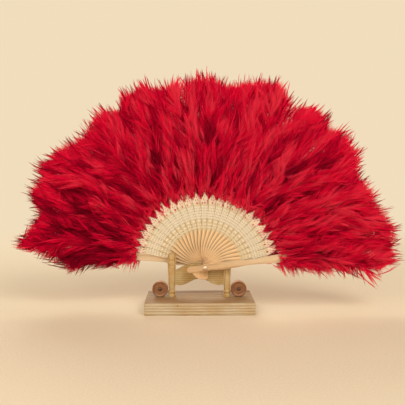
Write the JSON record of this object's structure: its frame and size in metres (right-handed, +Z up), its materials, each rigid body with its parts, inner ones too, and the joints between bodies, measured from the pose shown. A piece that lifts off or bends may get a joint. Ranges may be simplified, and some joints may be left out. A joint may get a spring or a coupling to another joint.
{
  "type": "feather fan",
  "caption": "Folding fan of pierced wooden sticks with fluffy red feather plumes, standing open on a small wooden stand with two turned posts; the sticks turn on one rivet.",
  "frame": {"origin": "middle of the base board's underside, where the stand rests", "axes": "+X to the right across the open fan, +Y to the back, +Z up"},
  "size_m": [0.6074, 0.088, 0.3748],
  "materials": {
    "pine": "planed pine with a thin clear coat",
    "turned_wood": "turned and lightly varnished",
    "apron_wood": "sawn thin and sanded",
    "dark_wood": "stained brown, satin",
    "pin_wood": "stained dark brown, satin",
    "guard_wood": "sanded and waxed",
    "stick_wood": "thin pierced wood, sanded",
    "rivet_metal": "bright metal",
    "feather": "dyed red down, soft and fluffy"
  },
  "bodies": {
    "stand": {"base_board": "pine", "left_post": "turned_wood", "right_post": "turned_wood", "apron": "apron_wood", "left_disc": "dark_wood", "right_disc": "dark_wood", "left_disc_pin": "pin_wood", "right_disc_pin": "pin_wood"},
    "fan_core": {"rivet": "rivet_metal", "rivet_washer": "rivet_metal", "stick_12": "stick_wood", "plume_12": "feather"},
    "blade_00": {"front_guard": "guard_wood", "plume_00": "feather"},
    "blade_01": {"stick_01": "stick_wood", "plume_01": "feather"},
    "blade_02": {"stick_02": "stick_wood", "plume_02": "feather"},
    "blade_03": {"stick_03": "stick_wood", "plume_03": "feather"},
    "blade_04": {"stick_04": "stick_wood", "plume_04": "feather"},
    "blade_05": {"stick_05": "stick_wood", "plume_05": "feather"},
    "blade_06": {"stick_06": "stick_wood", "plume_06": "feather"},
    "blade_07": {"stick_07": "stick_wood", "plume_07": "feather"},
    "blade_08": {"stick_08": "stick_wood", "plume_08": "feather"},
    "blade_09": {"stick_09": "stick_wood", "plume_09": "feather"},
    "blade_10": {"stick_10": "stick_wood", "plume_10": "feather"},
    "blade_11": {"stick_11": "stick_wood", "plume_11": "feather"},
    "blade_13": {"stick_13": "stick_wood", "plume_13": "feather"},
    "blade_14": {"stick_14": "stick_wood", "plume_14": "feather"},
    "blade_15": {"stick_15": "stick_wood", "plume_15": "feather"},
    "blade_16": {"stick_16": "stick_wood", "plume_16": "feather"},
    "blade_17": {"stick_17": "stick_wood", "plume_17": "feather"},
    "blade_18": {"stick_18": "stick_wood", "plume_18": "feather"},
    "blade_19": {"stick_19": "stick_wood", "plume_19": "feather"},
    "blade_20": {"stick_20": "stick_wood", "plume_20": "feather"},
    "blade_21": {"stick_21": "stick_wood", "plume_21": "feather"},
    "blade_22": {"stick_22": "stick_wood", "plume_22": "feather"},
    "blade_23": {"stick_23": "stick_wood", "plume_23": "feather"},
    "blade_24": {"back_guard": "guard_wood", "plume_24": "feather"}
  },
  "joints": [
    {"name": "fan_lift", "type": "slide", "parent": "stand", "child": "fan_core", "axis": [0, 0, 1], "range_m": [0, 0.06]},
    {"name": "fan_fold", "type": "hinge", "parent": "fan_core", "child": "blade_00", "pos_m": [0.0085, 0, 0.0688], "axis": [0, -1, 0], "range_deg": [0, 83]},
    {"name": "blade_01_turn", "type": "hinge", "parent": "fan_core", "child": "blade_01", "pos_m": [0.0085, 0, 0.0688], "axis": [0, -1, 0], "range_deg": [0, 76.08]},
    {"name": "blade_02_turn", "type": "hinge", "parent": "fan_core", "child": "blade_02", "pos_m": [0.0085, 0, 0.0688], "axis": [0, -1, 0], "range_deg": [0, 69.17]},
    {"name": "blade_03_turn", "type": "hinge", "parent": "fan_core", "child": "blade_03", "pos_m": [0.0085, 0, 0.0688], "axis": [0, -1, 0], "range_deg": [0, 62.25]},
    {"name": "blade_04_turn", "type": "hinge", "parent": "fan_core", "child": "blade_04", "pos_m": [0.0085, 0, 0.0688], "axis": [0, -1, 0], "range_deg": [0, 55.33]},
    {"name": "blade_05_turn", "type": "hinge", "parent": "fan_core", "child": "blade_05", "pos_m": [0.0085, 0, 0.0688], "axis": [0, -1, 0], "range_deg": [0, 48.42]},
    {"name": "blade_06_turn", "type": "hinge", "parent": "fan_core", "child": "blade_06", "pos_m": [0.0085, 0, 0.0688], "axis": [0, -1, 0], "range_deg": [0, 41.5]},
    {"name": "blade_07_turn", "type": "hinge", "parent": "fan_core", "child": "blade_07", "pos_m": [0.0085, 0, 0.0688], "axis": [0, -1, 0], "range_deg": [0, 34.58]},
    {"name": "blade_08_turn", "type": "hinge", "parent": "fan_core", "child": "blade_08", "pos_m": [0.0085, 0, 0.0688], "axis": [0, -1, 0], "range_deg": [0, 27.67]},
    {"name": "blade_09_turn", "type": "hinge", "parent": "fan_core", "child": "blade_09", "pos_m": [0.0085, 0, 0.0688], "axis": [0, -1, 0], "range_deg": [0, 20.75]},
    {"name": "blade_10_turn", "type": "hinge", "parent": "fan_core", "child": "blade_10", "pos_m": [0.0085, 0, 0.0688], "axis": [0, -1, 0], "range_deg": [0, 13.83]},
    {"name": "blade_11_turn", "type": "hinge", "parent": "fan_core", "child": "blade_11", "pos_m": [0.0085, 0, 0.0688], "axis": [0, -1, 0], "range_deg": [0, 6.92]},
    {"name": "blade_13_turn", "type": "hinge", "parent": "fan_core", "child": "blade_13", "pos_m": [0.0085, 0, 0.0688], "axis": [0, -1, 0], "range_deg": [-6.92, 0]},
    {"name": "blade_14_turn", "type": "hinge", "parent": "fan_core", "child": "blade_14", "pos_m": [0.0085, 0, 0.0688], "axis": [0, -1, 0], "range_deg": [-13.83, 0]},
    {"name": "blade_15_turn", "type": "hinge", "parent": "fan_core", "child": "blade_15", "pos_m": [0.0085, 0, 0.0688], "axis": [0, -1, 0], "range_deg": [-20.75, 0]},
    {"name": "blade_16_turn", "type": "hinge", "parent": "fan_core", "child": "blade_16", "pos_m": [0.0085, 0, 0.0688], "axis": [0, -1, 0], "range_deg": [-27.67, 0]},
    {"name": "blade_17_turn", "type": "hinge", "parent": "fan_core", "child": "blade_17", "pos_m": [0.0085, 0, 0.0688], "axis": [0, -1, 0], "range_deg": [-34.58, 0]},
    {"name": "blade_18_turn", "type": "hinge", "parent": "fan_core", "child": "blade_18", "pos_m": [0.0085, 0, 0.0688], "axis": [0, -1, 0], "range_deg": [-41.5, 0]},
    {"name": "blade_19_turn", "type": "hinge", "parent": "fan_core", "child": "blade_19", "pos_m": [0.0085, 0, 0.0688], "axis": [0, -1, 0], "range_deg": [-48.42, 0]},
    {"name": "blade_20_turn", "type": "hinge", "parent": "fan_core", "child": "blade_20", "pos_m": [0.0085, 0, 0.0688], "axis": [0, -1, 0], "range_deg": [-55.33, 0]},
    {"name": "blade_21_turn", "type": "hinge", "parent": "fan_core", "child": "blade_21", "pos_m": [0.0085, 0, 0.0688], "axis": [0, -1, 0], "range_deg": [-62.25, 0]},
    {"name": "blade_22_turn", "type": "hinge", "parent": "fan_core", "child": "blade_22", "pos_m": [0.0085, 0, 0.0688], "axis": [0, -1, 0], "range_deg": [-69.17, 0]},
    {"name": "blade_23_turn", "type": "hinge", "parent": "fan_core", "child": "blade_23", "pos_m": [0.0085, 0, 0.0688], "axis": [0, -1, 0], "range_deg": [-76.08, 0]},
    {"name": "blade_24_turn", "type": "hinge", "parent": "fan_core", "child": "blade_24", "pos_m": [0.0085, 0, 0.0688], "axis": [0, -1, 0], "range_deg": [-83, 0]}
  ],
  "couplings": [
    {"joint": "blade_01_turn", "follows": "fan_fold", "ratio": 0.91667},
    {"joint": "blade_02_turn", "follows": "fan_fold", "ratio": 0.83333},
    {"joint": "blade_03_turn", "follows": "fan_fold", "ratio": 0.75},
    {"joint": "blade_04_turn", "follows": "fan_fold", "ratio": 0.66667},
    {"joint": "blade_05_turn", "follows": "fan_fold", "ratio": 0.58333},
    {"joint": "blade_06_turn", "follows": "fan_fold", "ratio": 0.5},
    {"joint": "blade_07_turn", "follows": "fan_fold", "ratio": 0.41667},
    {"joint": "blade_08_turn", "follows": "fan_fold", "ratio": 0.33333},
    {"joint": "blade_09_turn", "follows": "fan_fold", "ratio": 0.25},
    {"joint": "blade_10_turn", "follows": "fan_fold", "ratio": 0.16667},
    {"joint": "blade_11_turn", "follows": "fan_fold", "ratio": 0.083333},
    {"joint": "blade_13_turn", "follows": "fan_fold", "ratio": -0.083333},
    {"joint": "blade_14_turn", "follows": "fan_fold", "ratio": -0.16667},
    {"joint": "blade_15_turn", "follows": "fan_fold", "ratio": -0.25},
    {"joint": "blade_16_turn", "follows": "fan_fold", "ratio": -0.33333},
    {"joint": "blade_17_turn", "follows": "fan_fold", "ratio": -0.41667},
    {"joint": "blade_18_turn", "follows": "fan_fold", "ratio": -0.5},
    {"joint": "blade_19_turn", "follows": "fan_fold", "ratio": -0.58333},
    {"joint": "blade_20_turn", "follows": "fan_fold", "ratio": -0.66667},
    {"joint": "blade_21_turn", "follows": "fan_fold", "ratio": -0.75},
    {"joint": "blade_22_turn", "follows": "fan_fold", "ratio": -0.83333},
    {"joint": "blade_23_turn", "follows": "fan_fold", "ratio": -0.91667},
    {"joint": "blade_24_turn", "follows": "fan_fold", "ratio": -1}
  ]
}
